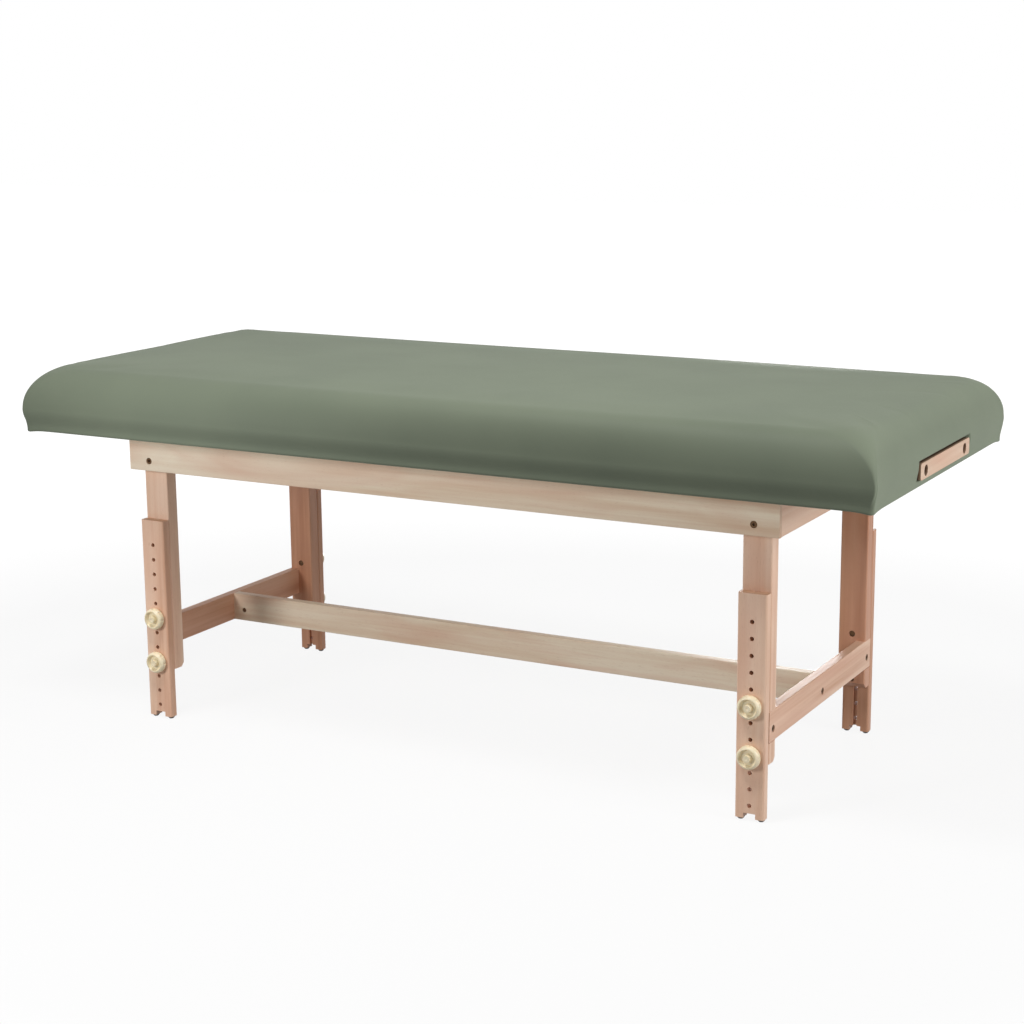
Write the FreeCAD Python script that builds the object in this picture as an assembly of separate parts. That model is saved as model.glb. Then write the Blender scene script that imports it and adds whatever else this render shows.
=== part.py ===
"""Stationary massage table on four height-adjusting wooden legs. Lengths are in millimetres."""
import math
import os

import FreeCAD
import Part

# Upholstered top
cushion_length = 1861.0
cushion_width = 781.0
cushion_height = 138.65
cushion_corner = 9.0
deck_margin = 9.5
deck_thickness = 12.7
deck_corner = 12.0
vinyl_thickness = 1.2
foam_gap = 0.3
vinyl_flange = 45.0
roll_width = 57.0
bulge_height = 46.0
bulge_depth = 8.3
crown_rise = 4.0
corner_growth = 1.3

# Side of the cushion from its widest line up to the crown, as shares of a quarter turn
roll_turn_shares = (0.0, 0.14, 0.28, 0.42, 0.56, 0.7, 0.82, 0.92)
# Crown of the top, as shares of the half width and of the crown's rise
crown_inset_shares = (0.04, 0.22, 0.5, 0.86)
crown_rise_shares = (0.1, 0.46, 0.82, 1.0)
# Tucked side below the widest line, as shares of the bulge's height and depth
tuck_height_shares = (0.0, 0.3, 0.52, 0.76)
tuck_depth_shares = (1.0, 0.95, 0.45, 0.1)

# Frame
deck_end_overhang = 197.1
deck_side_overhang = 83.2
apron_height = 82.55
apron_top = 620.35
stock_thickness = 20.6
rail_edge_round = 2.0
rabbet_depth = 10.0

# Face-rest block
block_length = 296.0
block_height = 31.0
block_depth = 90.0
block_overhang = 9.5
block_corner = 6.0
block_bore = 20.6
block_bore_depth = 78.0
block_bore_spacing = 235.0
block_bore_height = 14.5
opening_side_gap = 5.5
opening_top_gap = 2.5
opening_depth = 22.0

# Legs
leg_width = 57.15
leg_thickness = 31.75
leg_bottom = 107.0
leg_edge_round = 3.0
leg_foot_chamfer = 10.0
groove_width = 8.0
groove_depth = 6.0
tongue_side_gap = 0.3
tongue_end_gap = 0.5
tongue_length = 223.0

# Leg extensions
extension_head = 52.75
extension_edge_round = 4.0
hole_pitch = 31.75
hole_count = 12
hole_first_height = 30.0
stud_hole_numbers = (3, 6)
notch_width = 24.0
notch_height = 10.0

# Floor glides
glide_radius = 7.0
glide_base_radius = 4.5
glide_height = 5.0
glide_rim = 2.0
nail_radius = 1.25
nail_length = 12.0

# Braces
bar_bottom = 147.0
bar_height = 60.0
bar_end_gap = 0.5
bar_bolt_height = 24.0
bar_bolt_inset = 19.8
barrel_nut_inset = 27.0
barrel_nut_radius = 5.0
barrel_nut_length = 15.0
barrel_nut_cover = 1.5

# Bolts and nuts
bolt_gap = 0.3
small_bolt_radius = 3.0
small_head_radius = 5.0
small_head_height = 6.0
small_socket_flats = 5.0
small_socket_depth = 3.0
large_bolt_radius = 4.0
large_head_radius = 6.5
large_head_height = 6.0
large_socket_flats = 6.0
large_socket_depth = 3.5
counterbore_radius = 7.0
counterbore_depth = 7.0
rail_bolt_rise = 21.2
nut_flats = 13.0
nut_height = 6.5
nut_bore_depth = 9.0
nut_recess_radius = 10.0
insert_radius = 5.0
insert_length = 13.0
bolt_past_nut = 1.5

# Knobs and their studs
knob_radius = 22.5
knob_height = 18.0
knob_rim_height = 15.5
knob_rim_radius = 17.6
knob_base_radius = 19.5
knob_belly_height = 7.5
knob_well_radius = 13.4
knob_well_floor = 9.0
knob_hub_radius = 8.0
knob_hub_top_radius = 6.4
knob_bore_radius = 4.6
knob_cap = 2.6
knob_dimple_radius = 3.4
knob_dimple_depth = 1.0
knob_bulge_share = 0.833
knob_flute_radius = 4.5
knob_flute_depth = 1.1
knob_flutes = 8
knob_face_gap = 0.2
knob_nut_bore_gap = 0.04
stud_head_flats = 10.0
stud_head_height = 5.3
stud_recess_radius = 6.5
stud_recess_depth = 8.0
stud_short_of_knob_top = 4.0

# Wood screws
screw_radius = 2.2
screw_head_radius = 4.4
screw_head_height = 3.0
deck_screw_length = 40.0
deck_screw_length_shares = (-0.84, -0.3, 0.3, 0.84)
deck_screw_width_shares = (-0.4, 0.4)
block_screw_length = 30.0
block_screw_inset = 25.0
block_screw_length_shares = (-0.26, 0.0, 0.26)

# Places worked out from the sizes above
X = FreeCAD.Vector(1, 0, 0)
Y = FreeCAD.Vector(0, 1, 0)
Z = FreeCAD.Vector(0, 0, 1)
ORIGIN = FreeCAD.Vector(0, 0, 0)
deck_length = cushion_length - 2 * deck_margin
deck_width = cushion_width - 2 * deck_margin
apron_length = deck_length - 2 * deck_end_overhang
apron_width = deck_width - 2 * deck_side_overhang
rail_outer = apron_width / 2
rail_inner = rail_outer - stock_thickness
apron_end = apron_length / 2
end_rail_inner = apron_end - stock_thickness
apron_bottom = apron_top - apron_height
rail_bolt_height = apron_bottom + rail_bolt_rise
deck_top = apron_top + deck_thickness
leg_side = end_rail_inner
leg_near_side = leg_side - leg_width
leg_centre = leg_side - leg_width / 2
leg_outer = rail_inner
leg_inner = leg_outer - leg_thickness
bar_outer = leg_side
bar_inner = bar_outer - stock_thickness
bar_top = bar_bottom + bar_height
bar_bolt_z = bar_bottom + bar_bolt_height
bar_bolt_y = leg_outer - bar_bolt_inset
barrel_nut_x = bar_inner - barrel_nut_inset
stud_heights = tuple(hole_first_height + n * hole_pitch for n in stud_hole_numbers)
extension_top = hole_first_height + (hole_count - 1) * hole_pitch + extension_head
knob_base = rail_outer + knob_face_gap
small_bolt = (small_bolt_radius, small_head_radius, small_head_height, small_socket_flats, small_socket_depth)
large_bolt = (large_bolt_radius, large_head_radius, large_head_height, large_socket_flats, large_socket_depth)
cushion_bottom = apron_top - vinyl_thickness
block_end = deck_length / 2 + block_overhang
block_start = block_end - block_depth
block_top = deck_top + block_height


def box(low, high):
    """Box between two corners."""
    size = FreeCAD.Vector(*high) - FreeCAD.Vector(*low)
    return Part.makeBox(size.x, size.y, size.z, FreeCAD.Vector(*low))


def rounded_bar(low, high, along, radius):
    """Box whose four edges along one direction are rounded."""
    solid = box(low, high)
    edges = [e for e in solid.Edges if abs(e.tangentAt(e.FirstParameter).dot(along)) > 0.9]
    return solid.makeFillet(radius, edges)


def rod(radius, start, along, length):
    """Cylinder from a start point along a direction."""
    return Part.makeCylinder(radius, length, FreeCAD.Vector(*start), along)


def hexagon(flats, start, along, length):
    """Six-sided prism from a start point along a direction."""
    side = X if abs(along.dot(X)) < 0.5 else Y
    other = along.cross(side)
    reach = flats / math.sqrt(3)
    centre = FreeCAD.Vector(*start)
    corners = []
    for n in range(7):
        angle = math.radians(60 * n)
        corners.append(centre + side * (reach * math.cos(angle)) + other * (reach * math.sin(angle)))
    return Part.Face(Part.makePolygon(corners)).extrude(along * length)


def in_x(shape):
    """The shape mirrored to the left end."""
    return shape.mirror(ORIGIN, X)


def in_y(shape):
    """The shape mirrored to the front."""
    return shape.mirror(ORIGIN, Y)


def corners_of(shape):
    """The back right shape with its copies at the other three corners, by place."""
    front = in_y(shape)
    return {"back_right": shape, "back_left": in_x(shape), "front_right": front, "front_left": in_x(front)}


def both_ends(shapes):
    """The right end's shapes with their copies at the left end, as one group."""
    return Part.makeCompound(shapes + [in_x(s) for s in shapes])


def cap_bolt(sizes, seat, along, length):
    """Round-headed bolt with a hexagon socket, its head on the seat and its shank along the direction."""
    radius, head_radius, head_height, socket_flats, socket_depth = sizes
    seat = FreeCAD.Vector(*seat)
    head_top = seat - along * head_height
    bolt = rod(head_radius, head_top, along, head_height).fuse(rod(radius, seat, along, length))
    return bolt.cut(hexagon(socket_flats, head_top, along, socket_depth)).removeSplitter()


def wood_screw(seat, along, length):
    """Flat-seated wood screw with a pointed end."""
    seat = FreeCAD.Vector(*seat)
    point = 2 * screw_radius
    shank = rod(screw_radius, seat, along, length - point)
    tip = Part.makeCone(screw_radius, screw_radius / 4, point, seat + along * (length - point), along)
    head = rod(screw_head_radius, seat - along * screw_head_height, along, screw_head_height)
    return head.fuse([shank, tip]).removeSplitter()


# Upholstered top

def outline(half_length, half_width, corner, height):
    """Rounded rectangle at one height, as a closed wire."""
    x, y, r = half_length, half_width, corner
    bend = r * (1 - math.sqrt(0.5))
    edges = []
    corners = ((1, 1), (-1, 1), (-1, -1), (1, -1))

    def point(a, b):
        return FreeCAD.Vector(a, b, height)

    for n, (sx, sy) in enumerate(corners):
        first, last = point(sx * x, sy * (y - r)), point(sx * (x - r), sy * y)
        if sx * sy < 0:
            first, last = last, first
        middle = point(sx * (x - bend), sy * (y - bend))
        edges.append(Part.Arc(first, middle, last).toShape())
        tx, ty = corners[(n + 1) % len(corners)]
        to = point(tx * (x - r), ty * y) if tx * ty < 0 else point(tx * x, ty * (y - r))
        edges.append(Part.makeLine(last, to))
    return Part.Wire(edges)


def cushion_sections():
    """Inset, height above the cushion's bottom and corner radius of each outline, from the bottom up."""
    found = []
    for height, depth in zip(tuck_height_shares, tuck_depth_shares):
        found.append((depth * bulge_depth, height * bulge_height, cushion_corner))
    roll_rise = cushion_height - bulge_height - crown_rise
    for share in roll_turn_shares:
        turn = share * math.pi / 2
        inset = roll_width * (1 - math.cos(turn))
        height = bulge_height + roll_rise * math.sin(turn)
        found.append((inset, height, cushion_corner + corner_growth * inset))
    for inset_share, rise_share in zip(crown_inset_shares, crown_rise_shares):
        inset = roll_width + inset_share * (cushion_width / 2 - roll_width)
        height = cushion_height - crown_rise * (1 - rise_share)
        found.append((inset, height, cushion_corner + corner_growth * roll_width))
    return found


def cushion_form(skin):
    """Solid cushion form with its skin taken off."""
    wires = []
    for inset, height, corner in cushion_sections():
        down = skin * height / cushion_height
        wires.append(outline(cushion_length / 2 - inset - skin, cushion_width / 2 - inset - skin,
                             min(corner, cushion_width / 2 - inset - skin - cushion_corner),
                             cushion_bottom + height - down))
    return Part.makeLoft(wires, True, True)


def slab(half_length, half_width, corner, bottom, height):
    """Flat panel with round corners."""
    return Part.Face(outline(half_length, half_width, corner, bottom)).extrude(Z * height)


def block_space():
    """Opening in the upholstery around the face-rest block."""
    side = block_length / 2
    mouth = side + opening_side_gap
    far = block_end + opening_depth
    snug = box((block_start, -side, deck_top), (far, side, block_top))
    wide = box((deck_length / 2 - opening_depth, -mouth, deck_top), (far, mouth, block_top + opening_top_gap))
    return snug.fuse(wide)


def deck_holes():
    """Places of the deck's screws into the rails."""
    spots = []
    middle = rail_outer - stock_thickness / 2
    for share in deck_screw_length_shares:
        spots += [(share * apron_end, side * middle) for side in (-1, 1)]
    end = apron_end - stock_thickness / 2
    for share in deck_screw_width_shares:
        spots += [(side * end, share * rail_inner) for side in (-1, 1)]
    return spots


def block_holes():
    """Places of the screws that hold the face-rest block."""
    return [(block_start + block_screw_inset, share * block_length) for share in block_screw_length_shares]


def build_top():
    """Deck, foam, cover, face-rest block and their screws."""
    seat = deck_top - screw_head_height
    deck = slab(deck_length / 2, deck_width / 2, deck_corner, apron_top, deck_thickness)
    cuts, deck_screws, rail_holes = [], [], []
    for x, y in deck_holes():
        cuts.append(rod(screw_head_radius + bolt_gap, (x, y, seat), Z, screw_head_height))
        cuts.append(rod(screw_radius + bolt_gap, (x, y, apron_top), Z, deck_thickness))
        deck_screws.append(wood_screw((x, y, seat), -Z, deck_screw_length))
        rail_holes.append(rod(screw_radius + bolt_gap, (x, y, seat), -Z, deck_screw_length + bolt_gap))
    block = rounded_bar((block_start, -block_length / 2, deck_top), (block_end, block_length / 2, block_top),
                        X, block_corner)
    block_screws = []
    for x, y in block_holes():
        cuts.append(rod(screw_radius + bolt_gap, (x, y, apron_top), Z, deck_thickness))
        block = block.cut(rod(screw_radius + bolt_gap, (x, y, apron_top), Z, block_screw_length + bolt_gap))
        block_screws.append(wood_screw((x, y, apron_top), Z, block_screw_length))
    for side in (-1, 1):
        start = (block_end, side * block_bore_spacing / 2, deck_top + block_bore_height)
        block = block.cut(rod(block_bore / 2, start, -X, block_bore_depth))
    opening = block_space()
    inner = cushion_form(vinyl_thickness)
    under = slab(deck_length / 2 - vinyl_flange, deck_width / 2 - vinyl_flange, deck_corner,
                 cushion_bottom - vinyl_thickness, vinyl_thickness + deck_thickness)
    below_deck = box((-deck_length, -deck_width, 0), (deck_length, deck_width, deck_top))
    hollow = inner.cut(below_deck)
    solid_deck = slab(deck_length / 2, deck_width / 2, deck_corner, apron_top, deck_thickness)
    cover = cushion_form(0).cut(hollow).cut(solid_deck).cut(under).cut(opening)
    foam = cushion_form(vinyl_thickness + foam_gap)
    foam = foam.cut(below_deck).cut(opening)
    pieces = {"deck_panel": deck.cut(cuts), "vinyl_cover": cover, "foam_pad": foam, "face_rest_block": block}
    pieces["deck_screws"] = Part.makeCompound(deck_screws)
    pieces["block_screws"] = Part.makeCompound(block_screws)
    return pieces, rail_holes


# Frame

def build_apron(rail_holes):
    """The four rails, rabbeted at the corners."""
    long_rail = rounded_bar((-apron_end, rail_inner, apron_bottom), (apron_end, rail_outer, apron_top),
                            X, rail_edge_round)
    reach = rail_inner + rabbet_depth
    rabbet = box((end_rail_inner, rail_inner, apron_bottom), (apron_end, reach, apron_top))
    cuts = [rabbet, in_x(rabbet)]
    for side in (-1, 1):
        spot = (side * leg_centre, rail_outer, rail_bolt_height)
        cuts.append(rod(counterbore_radius, spot, -Y, counterbore_depth))
        cuts.append(rod(large_bolt_radius + bolt_gap, spot, -Y, stock_thickness))
    back = long_rail.cut(cuts)
    right = rounded_bar((end_rail_inner, -reach, apron_bottom), (apron_end, reach, apron_top),
                        Y, rail_edge_round)
    return {"back_rail": back.cut(rail_holes), "front_rail": in_y(back).cut(rail_holes),
            "right_end_rail": right.cut(rail_holes), "left_end_rail": in_x(right).cut(rail_holes)}


def build_leg():
    """Back right upper leg with its tongue, notch for the crossbar and bolt holes."""
    leg = rounded_bar((leg_near_side, leg_inner, leg_bottom), (leg_side, leg_outer, apron_top),
                      Z, leg_edge_round)
    half = groove_width / 2 - tongue_side_gap
    tongue_face = leg_outer + groove_depth - tongue_end_gap
    leg = leg.fuse(box((leg_centre - half, leg_outer - leg_edge_round, leg_bottom),
                       (leg_centre + half, tongue_face, leg_bottom + tongue_length)))
    foot = FreeCAD.Vector(leg_near_side, leg_inner, leg_bottom)
    wedge = Part.makePolygon([foot, foot + Y * leg_foot_chamfer, foot + Z * leg_foot_chamfer, foot])
    cuts = [Part.Face(wedge).extrude(X * leg_width)]
    cuts.append(box((bar_inner, leg_inner, bar_bottom), (bar_outer, leg_outer, bar_top)))
    rail_bolt = (leg_centre, leg_inner, rail_bolt_height)
    cuts.append(rod(nut_recess_radius, rail_bolt, Y, nut_bore_depth))
    cuts.append(rod(large_bolt_radius + bolt_gap, rail_bolt, Y, leg_thickness))
    for height in stud_heights:
        spot = (leg_centre, leg_inner, height)
        cuts.append(rod(stud_recess_radius, spot, Y, stud_recess_depth))
        cuts.append(rod(large_bolt_radius + bolt_gap, spot, Y, leg_thickness + groove_depth))
    bar_bolt = (bar_inner, bar_bolt_y, bar_bolt_z)
    cuts.append(rod(insert_radius + bolt_gap, bar_bolt, -X, insert_length))
    cuts.append(rod(small_bolt_radius + bolt_gap, bar_bolt, -X, insert_length + 2 * bolt_past_nut))
    return leg.cut(cuts).removeSplitter()


def build_braces():
    """Crossbars, stretcher and the bolts, inserts and barrel nuts that hold them."""
    reach = leg_outer - bar_end_gap
    bar = rounded_bar((bar_inner, -reach, bar_bottom), (bar_outer, reach, bar_top), Y, rail_edge_round)
    bar_bolts, stretcher_bolts, inserts, barrel_nuts = [], [], [], []
    seat_x = bar_outer - counterbore_depth
    for y in (-bar_bolt_y, 0, bar_bolt_y):
        spot = (bar_outer, y, bar_bolt_z)
        bar = bar.cut(rod(counterbore_radius, spot, -X, counterbore_depth))
        bar = bar.cut(rod(small_bolt_radius + bolt_gap, spot, -X, stock_thickness))
    bar_length = seat_x - bar_inner + insert_length + bolt_past_nut
    for y in (-bar_bolt_y, bar_bolt_y):
        bar_bolts.append(cap_bolt(small_bolt, (seat_x, y, bar_bolt_z), -X, bar_length))
        end = (bar_inner - insert_length, y, bar_bolt_z)
        insert = rod(insert_radius, end, X, insert_length).cut(
            rod(small_bolt_radius + bolt_gap, end, X, insert_length))
        inserts.append(insert)
    face = stock_thickness / 2
    stretcher = rounded_bar((-bar_inner, -face, bar_bottom), (bar_inner, face, bar_top), X, rail_edge_round)
    nut_y = barrel_nut_cover - face
    nut_hole = rod(barrel_nut_radius + bolt_gap, (barrel_nut_x, -face, bar_bolt_z), Y,
                   barrel_nut_cover + barrel_nut_length)
    long_length = seat_x - barrel_nut_x + barrel_nut_radius + bolt_past_nut
    bolt_hole = rod(small_bolt_radius + bolt_gap, (bar_inner, 0, bar_bolt_z), -X, long_length)
    stretcher = stretcher.cut([nut_hole, bolt_hole, in_x(nut_hole), in_x(bolt_hole)])
    stretcher_bolts.append(cap_bolt(small_bolt, (seat_x, 0, bar_bolt_z), -X, long_length))
    nut = rod(barrel_nut_radius, (barrel_nut_x, nut_y, bar_bolt_z), Y, barrel_nut_length).cut(bolt_hole)
    barrel_nuts.append(nut)
    return {"right_crossbar": bar, "left_crossbar": in_x(bar), "stretcher": stretcher,
            "crossbar_bolts": both_ends(bar_bolts), "crossbar_inserts": both_ends(inserts),
            "stretcher_bolts": both_ends(stretcher_bolts), "barrel_nuts": both_ends(barrel_nuts)}


def build_rail_bolts():
    """Bolts and nuts that hold the legs to the long rails."""
    seat = rail_outer - counterbore_depth
    nut_seat = leg_inner + nut_bore_depth
    length = seat - nut_seat + nut_height + bolt_past_nut
    bolt = cap_bolt(large_bolt, (leg_centre, seat, rail_bolt_height), -Y, length)
    start = (leg_centre, nut_seat, rail_bolt_height)
    nut_hole = rod(large_bolt_radius + bolt_gap, start, -Y, nut_height)
    nut = hexagon(nut_flats, start, -Y, nut_height).cut(nut_hole)
    return {"rail_bolts": Part.makeCompound(list(corners_of(bolt).values())),
            "rail_nuts": Part.makeCompound(list(corners_of(nut).values()))}


# Height adjustment

def build_extension():
    """Back right leg extension with its row of holes, groove and foot notch."""
    extension = rounded_bar((leg_near_side, leg_outer, glide_height), (leg_side, rail_outer, extension_top),
                            Z, extension_edge_round)
    half, gap = groove_width / 2, notch_width / 2
    groove = box((leg_centre - half, leg_outer, glide_height),
                 (leg_centre + half, leg_outer + groove_depth, extension_top))
    notch = box((leg_centre - gap, leg_outer, glide_height),
                (leg_centre + gap, rail_outer, glide_height + notch_height))
    cuts = [groove, notch]
    for n in range(hole_count):
        spot = (leg_centre, leg_outer, hole_first_height + n * hole_pitch)
        cuts.append(rod(large_bolt_radius + bolt_gap, spot, Y, stock_thickness))
    for x in glide_places():
        cuts.append(rod(nail_radius + bolt_gap, (x, glide_row(), glide_height), Z, nail_length + bolt_gap))
    return extension.cut(cuts).removeSplitter()


def glide_places():
    """Middle of each foot beside the notch."""
    foot = (leg_width + notch_width) / 4
    return leg_centre - foot, leg_centre + foot


def glide_row():
    """Middle of the extension's thickness."""
    return (leg_outer + rail_outer) / 2


def build_glides():
    """Two domed nail-on glides under the back right extension."""
    shapes = []
    for x in glide_places():
        place = FreeCAD.Vector(x, glide_row(), 0)
        rim_height = glide_height - glide_rim
        dome = Part.makeCone(glide_base_radius, glide_radius, rim_height, place, Z)
        rim = rod(glide_radius, place + Z * rim_height, Z, glide_rim)
        nail = rod(nail_radius, place + Z * glide_height, Z, nail_length)
        shapes.append(dome.fuse([rim, nail]).removeSplitter())
    return Part.makeCompound(shapes)


def build_stud(height):
    """Hexagon-headed stud from inside the leg out through the extension."""
    seat = (leg_centre, leg_inner + stud_recess_depth, height)
    reach = knob_base + knob_height - stud_short_of_knob_top - seat[1]
    return hexagon(stud_head_flats, seat, -Y, stud_head_height).fuse(rod(large_bolt_radius, seat, Y, reach))


def build_knob(height):
    """Fluted clamping knob with a dished face, a closed hub and a hexagon seat for its nut."""
    def at(radius, rise):
        return FreeCAD.Vector(leg_centre + radius, knob_base + rise, height)

    edges = []
    edges.append(Part.makeLine(at(knob_bore_radius, 0), at(knob_base_radius, 0)))
    spread = knob_radius - knob_base_radius
    bulge = at(knob_base_radius + knob_bulge_share * spread, knob_belly_height / 3)
    edges.append(Part.Arc(at(knob_base_radius, 0), bulge, at(knob_radius, knob_belly_height)).toShape())
    shoulder = at(knob_rim_radius + (knob_radius - knob_rim_radius) * math.sqrt(0.5),
                  knob_belly_height + (knob_rim_height - knob_belly_height) * math.sqrt(0.5))
    belly = at(knob_radius, knob_belly_height)
    edges.append(Part.Arc(belly, shoulder, at(knob_rim_radius, knob_rim_height)).toShape())
    corners = [at(knob_rim_radius, knob_rim_height), at(knob_well_radius, knob_well_floor),
               at(knob_hub_radius, knob_well_floor), at(knob_hub_top_radius, knob_height),
               at(knob_dimple_radius, knob_height), at(0, knob_height - knob_dimple_depth),
               at(0, knob_height - knob_cap), at(knob_bore_radius, knob_height - knob_cap),
               at(knob_bore_radius, 0)]
    edges += [Part.makeLine(a, b) for a, b in zip(corners, corners[1:])]
    knob = Part.Face(Part.Wire(edges)).revolve(at(0, 0), Y, 360)
    cuts = [hexagon(nut_flats, at(0, 0), Y, nut_height)]
    ring = knob_radius + knob_flute_radius - knob_flute_depth
    for n in range(knob_flutes):
        angle = 2 * math.pi * n / knob_flutes
        place = at(0, 0) + X * (ring * math.cos(angle)) + Z * (ring * math.sin(angle))
        cuts.append(rod(knob_flute_radius, place, Y, knob_height))
    nut = hexagon(nut_flats, at(0, 0), Y, nut_height)
    nut = nut.cut(rod(large_bolt_radius + knob_nut_bore_gap, at(0, 0), Y, nut_height))
    return knob.cut(cuts), nut


def build_adjusters():
    """Extensions, glides, studs, knobs and knob nuts at all four legs."""
    pieces, studs = {}, []
    for place, shape in corners_of(build_extension()).items():
        pieces["extension_" + place] = shape
    for place, shape in corners_of(build_glides()).items():
        pieces["glides_" + place] = shape
    for level, height in zip(("lower", "upper"), stud_heights):
        knob, nut = build_knob(height)
        studs += corners_of(build_stud(height)).values()
        for place, shape in corners_of(knob).items():
            pieces["knob_" + place + "_" + level] = shape
        for place, shape in corners_of(nut).items():
            pieces["knob_nut_" + place + "_" + level] = shape
    pieces["knob_studs"] = Part.makeCompound(studs)
    return pieces


def main():
    """Build every piece and write one file each."""
    pieces, rail_holes = build_top()
    pieces.update(build_apron(rail_holes))
    for place, shape in corners_of(build_leg()).items():
        pieces["leg_" + place] = shape
    pieces.update(build_rail_bolts())
    pieces.update(build_braces())
    pieces.update(build_adjusters())
    os.makedirs("parts", exist_ok=True)
    for name, shape in sorted(pieces.items()):
        shape.exportStep(os.path.join("parts", name + ".step"))
        print(name, len(shape.Solids), round(shape.Volume), shape.isValid())


main()
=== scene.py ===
"""Dresses the massage table: padded vinyl top, maple frame, pegged legs and knobs. Lengths are in metres."""
import logging
import math
from dataclasses import dataclass, field
from enum import Enum

import bmesh
import bpy
import numpy as np
from mathutils import Matrix, Vector


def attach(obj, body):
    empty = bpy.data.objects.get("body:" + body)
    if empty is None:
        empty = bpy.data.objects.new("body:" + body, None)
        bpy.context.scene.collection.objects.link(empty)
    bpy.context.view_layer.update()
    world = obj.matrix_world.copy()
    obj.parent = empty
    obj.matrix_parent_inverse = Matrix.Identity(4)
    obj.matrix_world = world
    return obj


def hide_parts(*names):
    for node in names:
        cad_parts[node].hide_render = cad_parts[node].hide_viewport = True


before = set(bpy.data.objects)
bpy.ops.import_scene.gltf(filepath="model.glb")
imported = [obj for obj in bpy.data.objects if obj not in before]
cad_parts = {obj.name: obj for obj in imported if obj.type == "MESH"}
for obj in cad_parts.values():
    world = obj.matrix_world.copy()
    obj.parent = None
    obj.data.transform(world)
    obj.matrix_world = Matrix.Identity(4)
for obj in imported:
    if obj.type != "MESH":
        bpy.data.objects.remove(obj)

LOG = logging.getLogger("massage_table")
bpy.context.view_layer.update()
Colour = tuple[float, float, float, float]
Triple = tuple[float, float, float]
Socket = bpy.types.NodeSocket


def from_screen(red: int, green: int, blue: int) -> Colour:
    """Turn a screen colour into a linear one.

    Args:
        red: Red from 0 to 255.
        green: Green from 0 to 255.
        blue: Blue from 0 to 255.

    Returns:
        The linear colour with full alpha.
    """
    share = np.array([red, green, blue]) / 255.0
    linear = np.where(share <= 0.04045, share / 12.92, ((share + 0.055) / 1.055) ** 2.4)
    return (float(linear[0]), float(linear[1]), float(linear[2]), 1.0)


class Grain(Enum):
    """Direction that a board's grain runs in."""

    LENGTH = 0
    WIDTH = 1
    HEIGHT = 2


class Corner(Enum):
    """The four legs, as their CAD names end."""

    FRONT_LEFT = "front_left"
    FRONT_RIGHT = "front_right"
    BACK_LEFT = "back_left"
    BACK_RIGHT = "back_right"


class Level(Enum):
    """The two knobs of a leg."""

    LOWER = "lower"
    UPPER = "upper"


class Reach(Enum):
    """What a lamp shines on; a studio flag keeps its light off the rest."""

    ALL = "ALL"
    NOT_PADDING = "EXCLUDE"
    ONLY_PADDING = "INCLUDE"


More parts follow.
